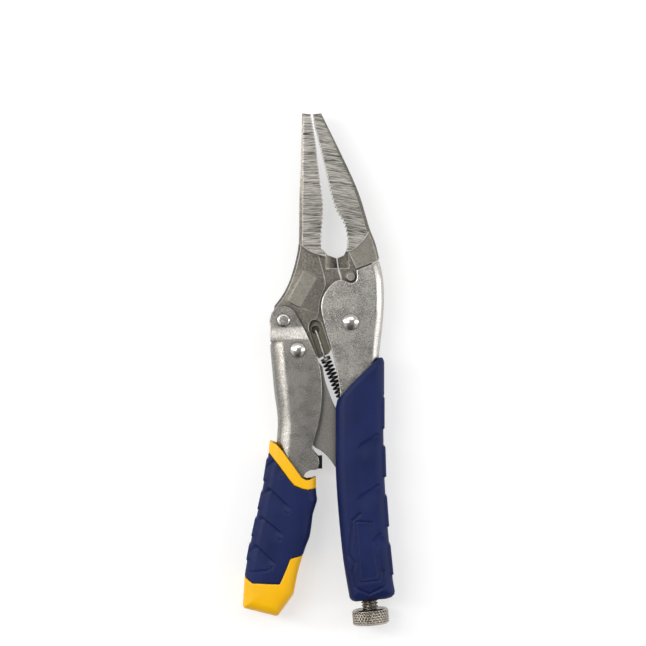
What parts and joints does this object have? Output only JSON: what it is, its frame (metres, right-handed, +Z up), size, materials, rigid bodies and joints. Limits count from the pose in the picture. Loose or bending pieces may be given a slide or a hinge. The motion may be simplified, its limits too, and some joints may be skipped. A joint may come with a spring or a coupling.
{
  "type": "locking pliers",
  "caption": "Long-nose locking pliers with wire cutter: two toothed jaws, stamped channel handles, over-centre toggle link, opening spring, adjusting screw and moulded grips.",
  "frame": {"origin": "on the surface that the tool lies on, under the middle of its plan box", "axes": "+Y along the tool towards the jaw tips, +X from the movable jaw's side to the fixed jaw's side, +Z up from the surface"},
  "size_m": [0.0698, 0.2354, 0.023],
  "materials": {
    "ground_steel": "long-nose faces ground across, the rest forged and nickel plated",
    "nickel_steel": "nickel plated, finely peened, with bright edges",
    "link_steel": "dull rolled steel plate",
    "spring_steel": "black oiled wire",
    "screw_steel": "nickel plated, rolled thread and knurled knob",
    "blue_grip": "matte moulded grip, deep blue",
    "yellow_core": "satin moulded plastic, yellow",
    "black_plastic": "matte black"
  },
  "bodies": {
    "main_body": {"main_handle": "nickel_steel", "fixed_jaw": "ground_steel", "jaw_pivot_rivet": "nickel_steel", "spring_anchor_pin": "nickel_steel", "thread_collar": "nickel_steel", "main_grip": "blue_grip"},
    "jaw": {"movable_jaw": "ground_steel", "opening_spring": "spring_steel"},
    "lever": {"lever_handle": "nickel_steel", "lever_pivot_rivet": "nickel_steel", "link_pivot_rivet": "nickel_steel", "release_pin": "nickel_steel"},
    "link": {"toggle_link": "link_steel", "link_spacer_top": "link_steel", "link_spacer_bottom": "link_steel"},
    "release_grip": {"grip_core": "yellow_core", "lever_grip": "blue_grip", "release_arm": "black_plastic"},
    "screw_slide": {"screw_nose": "screw_steel"},
    "screw": {"adjusting_screw": "screw_steel"}
  },
  "joints": [
    {"name": "jaw_hinge", "type": "hinge", "parent": "main_body", "child": "jaw", "pos_m": [0.01465, 0.02185, 0.0115], "axis": [0, 0, 1], "range_deg": [0, 20], "deforming": ["opening_spring"]},
    {"name": "lever_hinge", "type": "hinge", "parent": "jaw", "child": "lever", "pos_m": [-0.01605, 0.02265, 0.0115], "axis": [0, 0, 1], "range_deg": [-85, 0]},
    {"name": "link_hinge", "type": "hinge", "parent": "lever", "child": "link", "pos_m": [-0.00955, 0.00915, 0.0115], "axis": [0, 0, 1], "range_deg": [0, 81]},
    {"name": "release_hinge", "type": "hinge", "parent": "lever", "child": "release_grip", "pos_m": [-0.01335, -0.06015, 0.0115], "axis": [0, 0, 1], "range_deg": [-2.5, 0]},
    {"name": "screw_travel", "type": "slide", "parent": "main_body", "child": "screw_slide", "axis": [0.0833, -0.9965, 0], "range_m": [0, 0.02]},
    {"name": "screw_turn", "type": "hinge", "parent": "screw_slide", "child": "screw", "pos_m": [0.0225, -0.09679, 0.0115], "axis": [0.0833, -0.9965, 0], "range_deg": [0, 5104]}
  ],
  "couplings": [
    {"joint": "lever_hinge", "follows": "jaw_hinge", "ratio": -4.25},
    {"joint": "link_hinge", "follows": "jaw_hinge", "ratio": 4.05},
    {"joint": "screw_turn", "follows": "screw_travel", "rad_per_m": 4452.6}
  ]
}
